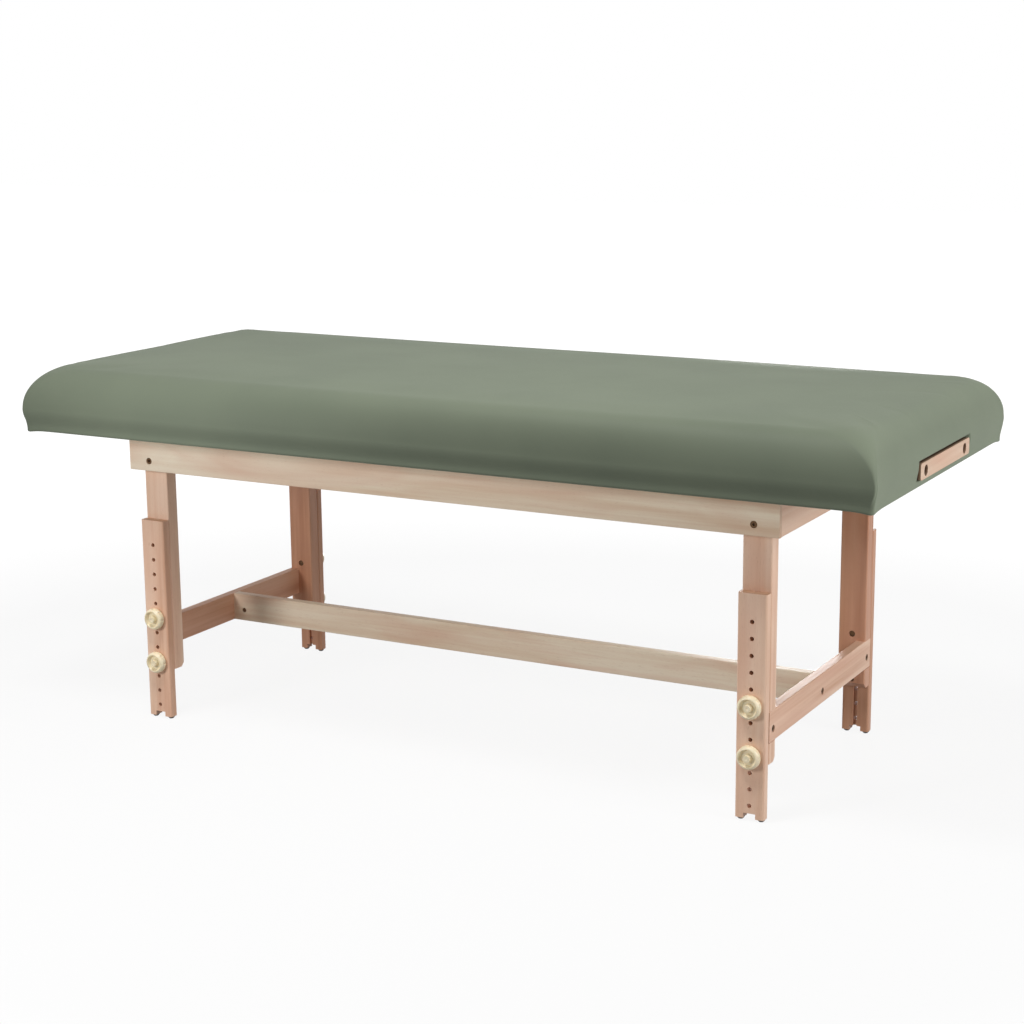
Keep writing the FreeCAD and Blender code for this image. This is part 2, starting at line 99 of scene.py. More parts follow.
class Paint:
    """A material's node tree, with short calls that add and join nodes."""

    def __init__(self, name: str) -> None:
        """Start an empty material.

        Args:
            name: Name of the material.
        """
        self.material = bpy.data.materials.new(name)
        self.material.use_nodes = True
        self.tree = self.material.node_tree
        self.shader = self.tree.nodes["Principled BSDF"]

    def add(self, kind: str, **values: object) -> bpy.types.Node:
        """Add a node and set its properties.

        Args:
            kind: Blender's name for the node type.
            **values: Properties of the node.

        Returns:
            The new node.
        """
        node = self.tree.nodes.new(kind)
        for name, value in values.items():
            setattr(node, name, value)
        return node

    def join(self, source: Socket, target: Socket) -> None:
        """Link an output to an input."""
        self.tree.links.new(source, target)

    def place(self, scale: Triple, shift: Triple) -> Socket:
        """Read the object's own coordinates, stretched and moved.

        Args:
            scale: Repeats per metre along X, Y and Z.
            shift: Offset of the pattern, after the scale.

        Returns:
            The vector socket.
        """
        where = self.add("ShaderNodeTexCoord")
        mapping = self.add("ShaderNodeMapping")
        mapping.inputs["Scale"].default_value = scale
        mapping.inputs["Location"].default_value = shift
        self.join(where.outputs["Object"], mapping.inputs["Vector"])
        return mapping.outputs["Vector"]

    def noise(self, vector: Socket, scale: float, detail: float = 4.0, twist: float = 0.0) -> Socket:
        """Soft noise over a vector.

        Args:
            vector: Where to read the noise.
            scale: Size of its features, in repeats.
            detail: How many finer layers it has.
            twist: How far it is distorted.

        Returns:
            The noise's value, from 0 to 1.
        """
        node = self.add("ShaderNodeTexNoise")
        node.inputs["Scale"].default_value = scale
        node.inputs["Detail"].default_value = detail
        node.inputs["Distortion"].default_value = twist
        self.join(vector, node.inputs["Vector"])
        return node.outputs["Fac"]

    def ramp(self, value: Socket, stops: list[tuple[float, Colour]]) -> Socket:
        """Turn a value into a colour along a ramp.

        Args:
            value: The value to read.
            stops: Positions and colours, in order.

        Returns:
            The colour socket.
        """
        node = self.add("ShaderNodeValToRGB")
        band = node.color_ramp
        while len(band.elements) < len(stops):
            band.elements.new(0.5)
        for element, (position, colour) in zip(band.elements, stops):
            element.position = position
            element.color = colour
        self.join(value, node.inputs["Fac"])
        return node.outputs["Color"]

    def spread(self, value: Socket, low: float, high: float, to_low: float, to_high: float) -> Socket:
        """Carry a value from one range to another.

        Args:
            value: The value to read.
            low: Start of its range.
            high: End of its range.
            to_low: Result at the start.
            to_high: Result at the end.

        Returns:
            The carried value.
        """
        node = self.add("ShaderNodeMapRange")
        for name, number in (("From Min", low), ("From Max", high), ("To Min", to_low), ("To Max", to_high)):
            node.inputs[name].default_value = number
        self.join(value, node.inputs["Value"])
        return node.outputs["Result"]

    def mix(self, share: Socket, first: Socket, second: Colour) -> Socket:
        """Blend a colour socket with a fixed colour.

        Args:
            share: How much of the second colour there is.
            first: The colour socket.
            second: The fixed colour.

        Returns:
            The blended colour.
        """
        node = self.add("ShaderNodeMix", data_type="RGBA")
        self.join(share, node.inputs[0])
        self.join(first, node.inputs[6])
        node.inputs[7].default_value = second
        return node.outputs[2]

    def bump(self, height: Socket, strength: float, distance: float, under: Socket | None = None) -> Socket:
        """Raise the surface by a height socket.

        Args:
            height: The height, from 0 to 1.
            strength: How strong the effect is.
            distance: Height of a full step, in metres.
            under: A normal that this one lies on.

        Returns:
            The normal socket.
        """
        node = self.add("ShaderNodeBump")
        node.inputs["Strength"].default_value = strength
        node.inputs["Distance"].default_value = distance
        self.join(height, node.inputs["Height"])
        if under is not None:
            self.join(under, node.inputs["Normal"])
        return node.outputs["Normal"]


@dataclass(frozen=True)
class MapleFinish:
    """Clear-finished maple: pale pinkish boards with soft bands, fine flecks and darker end grain."""

    light: Colour = from_screen(245, 233, 212)
    middle: Colour = from_screen(239, 223, 200)
    dark: Colour = from_screen(219, 189, 160)
    end_grain: Colour = from_screen(200, 158, 126)
    fleck: Colour = from_screen(178, 132, 100)
    blush: Colour = from_screen(214, 164, 138)
    roughness: tuple[float, float] = (0.38, 0.52)
    band_scale: tuple[float, float] = (0.9, 16.0)
    streak_scale: tuple[float, float] = (3.0, 130.0)
    patch_scale: tuple[float, float] = (2.2, 11.0)
    fleck_scale: tuple[float, float] = (90.0, 900.0)
    band_share: float = 0.6
    streak_share: float = 0.45
    blush_share: float = 0.5
    fleck_share: float = 0.32
    end_share: float = 0.7
    relief: tuple[float, float] = (0.18, 0.0004)
    gloss: float = 0.35
    board_shift: Triple = (0.37, 1.9, 3.1)

    def material(self, name: str, grain: Grain, board: int) -> bpy.types.Material:
        """Make the finish for one board.

        The figure is streaks times their share plus bands times theirs. Blush patches, flecks and the end
        grain are laid over it.

        Args:
            name: Name of the material.
            grain: Direction of the board's grain.
            board: Number of the board, which shifts its figure.

        Returns:
            The material.
        """
        paint = Paint(name)
        shift = tuple(part * board for part in self.board_shift)

        def along(scale: tuple[float, float]) -> Socket:
            """Place a pattern whose scale is given along and across the grain."""
            stretched = tuple(scale[0] if axis == grain.value else scale[1] for axis in range(3))
            return paint.place(stretched, shift)

        bands = paint.noise(along(self.band_scale), 1.0, 3.0, 0.8)
        streaks = paint.noise(along(self.streak_scale), 1.0, 5.0, 0.3)
        figure = paint.add("ShaderNodeMath", operation="MULTIPLY_ADD")
        figure.inputs[1].default_value = self.streak_share
        paint.join(streaks, figure.inputs[0])
        paint.join(paint.spread(bands, 0.25, 0.75, 0.0, self.band_share), figure.inputs[2])
        colour = paint.ramp(figure.outputs[0], [(0.24, self.light), (0.5, self.middle), (0.82, self.dark)])
        patches = paint.noise(along(self.patch_scale), 1.0, 2.0, 1.4)
        colour = paint.mix(paint.spread(patches, 0.46, 0.72, 0.0, self.blush_share), colour, self.blush)
        flecks = paint.noise(along(self.fleck_scale), 1.0, 2.0)
        colour = paint.mix(paint.spread(flecks, 0.62, 0.74, 0.0, self.fleck_share), colour, self.fleck)
        facing = paint.add("ShaderNodeTexCoord")
        split = paint.add("ShaderNodeSeparateXYZ")
        paint.join(facing.outputs["Normal"], split.inputs[0])
        square = paint.add("ShaderNodeMath", operation="ABSOLUTE")
        paint.join(split.outputs[grain.value], square.inputs[0])
        cut = paint.spread(square.outputs[0], 0.75, 0.95, 0.0, self.end_share)
        colour = paint.mix(cut, colour, self.end_grain)
        paint.join(colour, paint.shader.inputs["Base Color"])
        paint.join(paint.spread(streaks, 0.3, 0.7, *self.roughness), paint.shader.inputs["Roughness"])
        paint.join(paint.bump(streaks, *self.relief), paint.shader.inputs["Normal"])
        paint.shader.inputs["Specular IOR Level"].default_value = self.gloss
        return paint.material


@dataclass(frozen=True)
class PlywoodFinish:
    """Birch plywood: a pale veneer on the faces and thin layers on the edges."""

    veneer: Colour = from_screen(226, 202, 166)
    streak: Colour = from_screen(203, 172, 132)
    glue_line: Colour = from_screen(136, 98, 66)
    layer_turn: float = 9.0
    thickness: float = 0.0127
    wave_rate: float = 20.0

    def material(self, name: str) -> bpy.types.Material:
        """Make the deck's finish.

        The layers are a wave that turns by the layer turn, in radians, over the thickness. The wave rate is
        Blender's own turn per metre at a scale of 1.

        Args:
            name: Name of the material.

        Returns:
            The material.
        """
        paint = Paint(name)
        streaks = paint.noise(paint.place((1.2, 26.0, 26.0), (0.0, 0.0, 0.0)), 1.0, 6.0, 1.2)
        colour = paint.ramp(streaks, [(0.3, self.veneer), (0.7, self.streak)])
        layers = paint.add("ShaderNodeTexWave", wave_type="BANDS", bands_direction="Z")
        layers.inputs["Scale"].default_value = self.layer_turn / self.thickness / self.wave_rate
        where = paint.add("ShaderNodeTexCoord")
        paint.join(where.outputs["Object"], layers.inputs["Vector"])
        split = paint.add("ShaderNodeSeparateXYZ")
        paint.join(where.outputs["Normal"], split.inputs[0])
        upright = paint.add("ShaderNodeMath", operation="ABSOLUTE")
        paint.join(split.outputs[2], upright.inputs[0])
        edge = paint.add("ShaderNodeMath", operation="MULTIPLY")
        paint.join(paint.spread(upright.outputs[0], 0.2, 0.6, 1.0, 0.0), edge.inputs[0])
        paint.join(layers.outputs["Fac"], edge.inputs[1])
        colour = paint.mix(edge.outputs[0], colour, self.glue_line)
        paint.join(colour, paint.shader.inputs["Base Color"])
        paint.shader.inputs["Roughness"].default_value = 0.62
        paint.join(paint.bump(streaks, 0.12, 0.0004), paint.shader.inputs["Normal"])
        return paint.material


@dataclass(frozen=True)
class VinylFinish:
    """Sage upholstery vinyl: even colour, fine pebbled grain, soft sheen."""

    sage: Colour = from_screen(128, 137, 118)
    sage_deep: Colour = from_screen(123, 132, 114)
    sheen: float = 0.04
    sheen_roughness: float = 0.4
    sheen_tint: Colour = from_screen(186, 196, 172)
    pebble: float = 620.0
    pebble_relief: tuple[float, float] = (0.16, 0.0004)
    ripple: float = 34.0
    ripple_relief: tuple[float, float] = (0.05, 0.002)
    gloss: float = 0.12
    roughness: tuple[float, float] = (0.5, 0.6)

    def material(self, name: str) -> bpy.types.Material:
        """Make the cover's finish.

        Args:
            name: Name of the material.

        Returns:
            The material.
        """
        paint = Paint(name)
        where = paint.place((1.0, 1.0, 1.0), (0.0, 0.0, 0.0))
        cloud = paint.noise(where, 5.0, 3.0)
        colour = paint.ramp(cloud, [(0.35, self.sage), (0.68, self.sage_deep)])
        cells = paint.add("ShaderNodeTexVoronoi", feature="SMOOTH_F1")
        cells.inputs["Scale"].default_value = self.pebble
        paint.join(where, cells.inputs["Vector"])
        paint.join(colour, paint.shader.inputs["Base Color"])
        rough = paint.spread(cells.outputs["Distance"], 0.0, 0.7, *self.roughness)
        paint.join(rough, paint.shader.inputs["Roughness"])
        soft = paint.bump(paint.noise(where, self.ripple, 2.0), *self.ripple_relief)
        pebbled = paint.bump(cells.outputs["Distance"], *self.pebble_relief, soft)
        paint.join(pebbled, paint.shader.inputs["Normal"])
        paint.shader.inputs["Specular IOR Level"].default_value = self.gloss
        paint.shader.inputs["Sheen Weight"].default_value = self.sheen
        paint.shader.inputs["Sheen Roughness"].default_value = self.sheen_roughness
        paint.shader.inputs["Sheen Tint"].default_value = self.sheen_tint
        return paint.material


@dataclass(frozen=True)
class MouldedFinish:
    """Moulded plastic with a faint flow in its colour and a fine texture."""

    base: Colour
    shade: Colour
    roughness: float
    glow: float = 0.0

    def material(self, name: str) -> bpy.types.Material:
        """Make the finish.

        Args:
            name: Name of the material.

        Returns:
            The material.
        """
        paint = Paint(name)
        where = paint.place((1.0, 1.0, 1.0), (0.2, 0.1, 0.4))
        flow = paint.noise(where, 55.0, 3.0, 0.6)
        colour = paint.ramp(flow, [(0.3, self.base), (0.75, self.shade)])
        paint.join(colour, paint.shader.inputs["Base Color"])
        texture = paint.noise(where, 900.0, 2.0)
        rough = paint.spread(texture, 0.3, 0.7, self.roughness - 0.05, self.roughness + 0.07)
        paint.join(rough, paint.shader.inputs["Roughness"])
        paint.join(paint.bump(texture, 0.08, 0.0002), paint.shader.inputs["Normal"])
        paint.shader.inputs["Subsurface Weight"].default_value = self.glow
        paint.shader.inputs["Subsurface Radius"].default_value = (0.004, 0.003, 0.002)
        return paint.material


@dataclass(frozen=True)
class MetalFinish:
    """Small hardware metal with fine tool marks."""

    base: Colour
    shade: Colour
    metallic: float
    roughness: float

    def material(self, name: str) -> bpy.types.Material:
        """Make the finish.

        Args:
            name: Name of the material.

        Returns:
            The material.
        """
        paint = Paint(name)
        where = paint.place((1.0, 1.0, 1.0), (0.0, 0.3, 0.1))
        marks = paint.noise(where, 700.0, 3.0, 0.4)
        colour = paint.ramp(marks, [(0.3, self.base), (0.75, self.shade)])
        paint.join(colour, paint.shader.inputs["Base Color"])
        rough = paint.spread(marks, 0.3, 0.7, self.roughness - 0.08, self.roughness + 0.1)
        paint.join(rough, paint.shader.inputs["Roughness"])
        paint.join(paint.bump(marks, 0.06, 0.0002), paint.shader.inputs["Normal"])
        paint.shader.inputs["Metallic"].default_value = self.metallic
        return paint.material


@dataclass(frozen=True)
class ShadedBlockMaple(MapleFinish):
    """Maple with painted shade: behind its front, its bores and sides are painted a near-black brown."""

    front: float = 0.930
    fade: float = 0.006
    # Painted shade: the near-black colour of every face behind the front.
    painted_shade: Colour = from_screen(74, 42, 28)

    def material(self, name: str, grain: Grain, board: int) -> bpy.types.Material:
        """Make the finish, with the painted shade mixed in by the depth behind the front.

        Args:
            name: Name of the material.
            grain: Direction of the board's grain.
            board: Number of the board, which shifts its figure.

        Returns:
            The material.
        """
        made = super().material(name, grain, board)
        tree = made.node_tree
        base = tree.nodes["Principled BSDF"].inputs["Base Color"]
        unshaded_colour = base.links[0].from_socket
        where = tree.nodes.new("ShaderNodeTexCoord")
        split = tree.nodes.new("ShaderNodeSeparateXYZ")
        depth = tree.nodes.new("ShaderNodeMapRange")
        mix = tree.nodes.new("ShaderNodeMix")
        mix.data_type = "RGBA"
        # Painted shade, growing from the front face backwards along the object's X.
        for socket, value in zip(("From Min", "From Max"), (self.front, self.front - self.fade)):
            depth.inputs[socket].default_value = value
        tree.links.new(where.outputs["Object"], split.inputs[0])
        tree.links.new(split.outputs["X"], depth.inputs["Value"])
        tree.links.new(depth.outputs["Result"], mix.inputs[0])
        tree.links.new(unshaded_colour, mix.inputs[6])
        mix.inputs[7].default_value = self.painted_shade
        tree.links.new(mix.outputs[2], base)
        return made


PALE_MAPLE = MapleFinish()
ROSY_MAPLE = MapleFinish(light=from_screen(238, 207, 184), middle=from_screen(229, 192, 166),
                         dark=from_screen(204, 157, 128))
# Painted shade: a darker, redder maple for the left crossbar, whose inner face lies in shade.
SHADED_DEEP_MAPLE = MapleFinish(light=from_screen(222, 178, 150), middle=from_screen(212, 162, 133),
                         dark=from_screen(186, 132, 104))
# Painted shade: a darker, redder maple for the back legs, whose faces lie in shade under the table.
SHADED_RED_MAPLE = MapleFinish(light=from_screen(207, 160, 131), middle=from_screen(197, 145, 115),
                        dark=from_screen(171, 116, 89))
# Painted shade: the face-rest block is darkened behind its front.
SHADED_BLOCK_MAPLE = ShadedBlockMaple(light=from_screen(221, 193, 169), middle=from_screen(212, 181, 155),
                             dark=from_screen(192, 153, 125))
CREAM_PLASTIC = MouldedFinish(from_screen(242, 229, 198), from_screen(231, 216, 181), 0.34, 0.12)
DARK_NYLON = MouldedFinish(from_screen(38, 36, 35), from_screen(50, 47, 45), 0.5)
BROWNED_STEEL = MetalFinish(from_screen(98, 71, 44), from_screen(82, 58, 36), 0.6, 0.45)
ZINC_STEEL = MetalFinish(from_screen(178, 178, 180), from_screen(150, 150, 154), 1.0, 0.36)
BRASS = MetalFinish(from_screen(196, 164, 98), from_screen(168, 136, 78), 1.0, 0.34)


def dress(node: str, material: bpy.types.Material) -> None:
    """Give a CAD node its finish.

    Args:
        node: Name of the node.
        material: The finish.
    """
    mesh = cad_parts[node].data
    mesh.materials.clear()
    mesh.materials.append(material)
    LOG.info("dressed %s in %s", node, material.name)


def grid_mesh(name: str, points: np.ndarray) -> bpy.types.Object:
    """Make a mesh from a grid of points that closes on itself along its second way.

    Args:
        name: Name of the object.
        points: Array of rows, columns and three coordinates.

    Returns:
        The new object, at the origin.
    """
    rows, columns = points.shape[:2]
    numbers = np.arange(rows * columns).reshape(rows, columns)
    across = np.roll(numbers, -1, axis=1)
    faces = np.stack([numbers[:-1], across[:-1], across[1:], numbers[1:]], axis=-1).reshape(-1, 4)
    mesh = bpy.data.meshes.new(name)
    mesh.from_pydata(points.reshape(-1, 3).tolist(), [], faces.tolist())
    shell = bmesh.new()
    shell.from_mesh(mesh)
    bmesh.ops.remove_doubles(shell, verts=shell.verts, dist=1e-5)
    bmesh.ops.recalc_face_normals(shell, faces=shell.faces)
    shell.to_mesh(mesh)
    shell.free()
    mesh.polygons.foreach_set("use_smooth", np.ones(len(mesh.polygons), bool))
    mesh.update()
    made = bpy.data.objects.new(name, mesh)
    bpy.context.scene.collection.objects.link(made)
    return made


def step(value: np.ndarray, low: float, high: float) -> np.ndarray:
    """Smooth step from 0 at low to 1 at high, worked out as 3t squared less 2t cubed."""
    share = np.clip((value - low) / (high - low), 0.0, 1.0)
    return share * share * (3.0 - 2.0 * share)


@dataclass
class PaddedTop:
    """The upholstered top: rolled sides, drawn-in lower edge, crown, folded corners, face-rest opening."""

    half_length: float = 0.9335
    half_width: float = 0.3935
    bottom: float = 0.61915
    height: float = 0.1347
    bulge_height: float = 0.046
    bulge_depth: float = 0.0083
    roll_width: float = 0.057
    crown: float = 0.004
    corner: float = 0.007
    corner_growth: float = 1.3
    corner_limit: float = 0.98
    flange: float = 0.045
    lip: float = 0.004
    side_start: float = 0.006
    sill_rows: tuple[float, float, float, float] = (0.0115, 0.0122, 0.018, 0.021)
    side_end: float = 0.003
    lintel_rows: Triple = (0.01, 0.12, 0.15)
    end_columns: int = 70
    side_columns: int = 110
    corner_columns: int = 8
    close_columns: int = 13
    close_span: float = 0.022
    vinyl: float = 0.0012
    droop: float = 0.005
    droop_reach: float = 0.030
    droop_fade: tuple[float, float] = (0.006, 0.05)
    opening_half: float = 0.1535
    opening_low: float = 0.6325
    opening_high: float = 0.6665
    opening_depth: float = 0.020
    edge_turn: float = 0.0035
    sill_turn: tuple[float, float] = (0.001, 0.002)
    pleat_inset: float = 0.008
    pleat_width: float = 0.0022
    pleat_depth: float = 0.0016
    pleat_top: float = 0.692
    pleat_fade: float = 0.03
    pleat_zone: tuple[float, float] = (0.03, 0.015)
    pressure: float = 4.0
    swell_cap: float = 0.004
    hold_height: float = 0.055
    shoulder_power: float = 2.8
    shoulder_middle: float = 0.28
    shoulder_reach: float = 0.50
    shoulder_fade: tuple[float, float] = (0.45, 0.86)
    swell_frames: int = 20
    finish: VinylFinish = field(default_factory=VinylFinish)

    def profile(self) -> tuple[np.ndarray, np.ndarray]:
        """Follow the cover from its stapled edge, up the side and over the roll to the middle line.

        The lower edge turns by a quarter circle. The side below its widest line is a half cosine, the roll
        above it a quarter ellipse, and the crown a half cosine. Rows are closer at the opening's edges.

        Returns:
            The inset from the widest outline and the height above the bottom, one value each per row.
        """
        under = np.linspace(self.bulge_depth + self.flange, self.bulge_depth + self.lip, 4)
        turn = np.linspace(0.0, np.pi / 2, 5)
        lip_inset = self.bulge_depth + self.lip - self.lip * np.sin(turn)
        lip_height = self.lip * (1.0 - np.cos(turn))
        before, first, last, after = self.sill_rows
        low = np.concatenate([np.linspace(self.side_start, before, 3), np.linspace(first, last, 5),
                              np.linspace(after, self.bulge_height - self.side_end, 6), [self.bulge_height]])
        climb = (low - self.side_start) / (self.bulge_height - self.side_start)
        low_inset = self.bulge_depth * (0.5 + 0.5 * np.cos(np.pi * np.clip(climb, 0.0, 1.0)))
        rise = self.height - self.bulge_height - self.crown
        first, last, after = self.lintel_rows
        angle = np.concatenate([np.linspace(first, last, 8), np.linspace(after, 1.0, 22)]) * np.pi / 2
        roll_inset = self.roll_width * (1.0 - np.cos(angle))
        roll_height = self.bulge_height + rise * np.sin(angle)
        share = np.linspace(0.0, 1.0, 20)[1:]
        top_inset = self.roll_width + share * (self.half_width - self.roll_width)
        top_height = self.height - self.crown * (0.5 + 0.5 * np.cos(np.pi * share))
        inset = np.concatenate([under, lip_inset[1:], low_inset, roll_inset, top_inset])
        height = np.concatenate([np.zeros(len(under)), lip_height[1:], low, roll_height, top_height])
        return inset, height

    def shares(self, count: int, marks: tuple[float, ...]) -> np.ndarray:
        """Divide a side evenly, with closer lines on both sides of each mark.

        Args:
            count: Number of even steps.
            marks: Places along the side, from -1 to 1, that need close lines.

        Returns:
            The sorted places, from -1 to 1, without the last.
        """
        even = np.linspace(-1.0, 1.0, count + 1)
        close = [mark + np.linspace(-self.close_span, self.close_span, self.close_columns) for mark in marks]
        return np.unique(np.round(np.concatenate([even, *close]), 6))[:-1]

    def surface(self) -> np.ndarray:
        """Carry the profile round the outline, a rectangle whose corner radius grows with the inset.

        Returns:
            The grid of points, a row per profile step and a column per place on the outline.
        """
        inset, height = self.profile()
        inset, height = inset[:, None], height[:, None]
        length, width = self.half_length - inset, self.half_width - inset
        on_roll = np.clip(inset, 0.0, self.roll_width) * (height > self.bulge_height)
        widest = np.maximum(width, 0.0) * self.corner_limit
        radius = np.minimum(self.corner + self.corner_growth * on_roll, widest)
        mouth = self.opening_half / (self.half_width - self.bulge_depth / 2 - self.corner)
        fold = 1.0 - self.pleat_inset / (self.half_width - self.corner)
        plain = self.shares(self.side_columns, ())
        sides = (self.shares(self.end_columns, (-fold, -mouth, mouth, fold)), plain,
                 self.shares(self.end_columns, (-fold, fold)), plain)
        bend = np.linspace(0.0, np.pi / 2, self.corner_columns + 1)[:-1]
        columns_x, columns_y = [], []
        signs = ((1, -1), (1, 1), (-1, 1), (-1, -1))
        for side, (sx, sy) in enumerate(signs):
            place = sides[side][None, :]
            if side % 2 == 0:
                columns_x.append(np.broadcast_to(sx * length, (len(length), place.shape[1])))
                columns_y.append(-sy * place * (width - radius))
            else:
                columns_x.append(-sx * place * (length - radius))
                columns_y.append(np.broadcast_to(sy * width, (len(width), place.shape[1])))
            start = side * np.pi / 2
            turn = (start + bend)[None, :]
            cx = np.sign(np.cos(start + np.pi / 4)) * (length - radius)
            cy = np.sign(np.sin(start + np.pi / 4)) * (width - radius)
            columns_x.append(cx + radius * np.cos(turn))
            columns_y.append(cy + radius * np.sin(turn))
        x = np.concatenate(columns_x, axis=1)
        y = np.concatenate(columns_y, axis=1)
        z = np.broadcast_to(self.bottom + height, x.shape)
        return np.stack([x, y, z], axis=-1)

    def fill_shoulders(self, points: np.ndarray) -> np.ndarray:
        """Fill the roll of the long sides between the corners, where the foam pushes hardest.

        The roll's inset goes from an ellipse to the same curve with a higher power, by a bell along the side
        that fades out before the ends.

        Args:
            points: The grid of points.

        Returns:
            The grid with fuller long sides.
        """
        x, y, z = points[..., 0], points[..., 1], points[..., 2]
        rise = self.height - self.bulge_height - self.crown
        share = np.clip((z - self.bottom - self.bulge_height) / rise, 0.0, 1.0)
        power = self.shoulder_power
        gain = self.roll_width * ((1.0 - share ** power) ** (1.0 / power) - np.sqrt(1.0 - share ** 2))
        bell = np.exp(-((x - self.shoulder_middle) / self.shoulder_reach) ** 2)
        y = y + np.sign(y) * gain * bell * (1.0 - step(np.abs(x), *self.shoulder_fade))
        return np.stack([x, y, z], axis=-1)

    def fold_corners(self, points: np.ndarray) -> np.ndarray:
        """Fold the corners.

        Each gets a narrow bell-shaped pleat beside it, and a bell-shaped hang that fades out upwards.

        Args:
            points: The grid of points.

        Returns:
            The grid with drooping corners.
        """
        x, y, z = points[..., 0], points[..., 1], points[..., 2]
        away = np.hypot(self.half_length - np.abs(x), self.half_width - np.abs(y))
        low, high = self.droop_fade
        fade = 1.0 - step(z, self.bottom + low, self.bottom + high)
        inset = (self.half_width - np.abs(y) - self.pleat_inset) / self.pleat_width
        inner, outer = self.pleat_zone
        on_end = step(np.abs(x), self.half_length - inner, self.half_length - outer)
        below = 1.0 - step(z, self.pleat_top - self.pleat_fade, self.pleat_top)
        pleat = self.pleat_depth * np.exp(-inset ** 2) * below
        x = x - np.sign(x) * pleat * on_end
        z = z - self.droop * np.exp(-(away / self.droop_reach) ** 2) * fade
        return np.stack([x, y, z], axis=-1)

    def press_opening(self, points: np.ndarray) -> np.ndarray:
        """Sink the cover round the face-rest block, by the product of two smooth steps across and up.

        Args:
            points: The grid of points.

        Returns:
            The grid with the opening.
        """
        x, y, z = points[..., 0], points[..., 1], points[..., 2]
        wide = 1.0 - step(np.abs(y), self.opening_half - self.edge_turn, self.opening_half + self.edge_turn)
        below, above = self.sill_turn
        tall = step(z, self.opening_low - below, self.opening_low + above)
        tall = tall * (1.0 - step(z, self.opening_high - self.edge_turn, self.opening_high + self.edge_turn))
        x = x - np.where(x > 0.0, self.opening_depth * wide * tall, 0.0)
        return np.stack([x, y, z], axis=-1)

    def inflate(self, top: bpy.types.Object) -> None:
        """Let the foam's pressure swell the cover as simulated cloth, held at its lower edge.

        Each point moves by the cap times the hyperbolic tangent of its travel over the cap, faded out toward
        the lower edge by a smooth step.

        Args:
            top: The padded top.
        """
        mesh = top.data
        start = np.empty(len(mesh.vertices) * 3)
        mesh.vertices.foreach_get("co", start)
        start = start.reshape(-1, 3)
        held = top.vertex_groups.new(name="held")
        held.add(np.flatnonzero(start[:, 2] < self.bottom + self.side_start).tolist(), 1.0, "REPLACE")
        cloth = top.modifiers.new("cloth", "CLOTH")
        cloth.settings.vertex_group_mass = held.name
        cloth.settings.use_pressure = True
        cloth.settings.uniform_pressure_force = self.pressure
        cloth.settings.effector_weights.gravity = 0.0
        cloth.point_cache.frame_start = 1
        cloth.point_cache.frame_end = self.swell_frames
        for number in range(1, self.swell_frames + 1):
            bpy.context.scene.frame_set(number)
        solved = top.evaluated_get(bpy.context.evaluated_depsgraph_get())
        after = np.empty(len(start) * 3)
        solved.data.vertices.foreach_get("co", after)
        travel = after.reshape(-1, 3) - start
        size = np.maximum(np.linalg.norm(travel, axis=1, keepdims=True), 1e-9)
        LOG.info("cloth moved the cover by up to %.4f m, mean %.4f m", size.max(), size.mean())
        free = step(start[:, 2:], self.bottom, self.bottom + self.hold_height)
        after = start + free * travel / size * self.swell_cap * np.tanh(size / self.swell_cap)
        top.modifiers.remove(cloth)
        top.vertex_groups.clear()
        bpy.context.scene.frame_set(1)
        mesh.vertices.foreach_set("co", after.ravel())
        mesh.update()

    def build(self) -> bpy.types.Object:
        """Make the padded top and let it stand for the cover and the foam.

        Returns:
            The padded top.
        """
        top = grid_mesh("padded_top", self.fill_shoulders(self.surface()))
        self.inflate(top)
        points = np.empty(len(top.data.vertices) * 3)
        top.data.vertices.foreach_get("co", points)
        points = self.press_opening(self.fold_corners(points.reshape(-1, 3)))
        top.data.vertices.foreach_set("co", points.ravel())
        top.data.update()
        wall = top.modifiers.new("vinyl", "SOLIDIFY")
        wall.thickness = self.vinyl
        wall.offset = -1.0
        top.data.materials.append(self.finish.material("sage_vinyl"))
        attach(top, "table")
        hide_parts("vinyl_cover", "foam_pad")
        LOG.info("built padded_top with %d points", len(top.data.vertices))
        return top


@dataclass
class WoodenFrame:
    """Rails, legs, braces, deck and face-rest block, each board with its own figure; the back legs and the
    left crossbar take darker, redder maple as painted shade, and the face-rest block has painted shade
    behind its front.
    """

    pale: MapleFinish = PALE_MAPLE
    rosy: MapleFinish = ROSY_MAPLE
    # Painted shade for the left crossbar.
    crossbar_shade: MapleFinish = SHADED_DEEP_MAPLE
    # Painted shade for the back legs.
    red: MapleFinish = SHADED_RED_MAPLE
    # Painted shade behind the face-rest block's front.
    block_shade: MapleFinish = SHADED_BLOCK_MAPLE
    deck: PlywoodFinish = field(default_factory=PlywoodFinish)
    boards: dict[str, Grain] = field(default_factory=lambda: {
        "front_rail": Grain.LENGTH, "back_rail": Grain.LENGTH, "stretcher": Grain.LENGTH,
        "left_end_rail": Grain.WIDTH, "right_end_rail": Grain.WIDTH, "left_crossbar": Grain.WIDTH,
        "right_crossbar": Grain.WIDTH, "face_rest_block": Grain.WIDTH,
        **{"leg_" + corner.value: Grain.HEIGHT for corner in Corner},
        **{"extension_" + corner.value: Grain.HEIGHT for corner in Corner}})

    def build(self) -> None:
        """Dress every board and the deck."""
        for number, (node, grain) in enumerate(self.boards.items()):
            finish = self.pale if grain is Grain.LENGTH else self.rosy
            # Painted shade: the back legs, which lie in shade under the table, get a darker, redder maple.
            if "_back_" in node:
                finish = self.red
            # Painted shade: the left crossbar, which lies in shade, gets a darker, redder maple.
            elif node == "left_crossbar":
                finish = self.crossbar_shade
            # Painted shade: the face-rest block is darkened behind its front face, in its bores and on its
            # sides.
            elif node == "face_rest_block":
                finish = self.block_shade
            dress(node, finish.material("maple_" + node, grain, number))
        dress("deck_panel", self.deck.material("birch_plywood"))


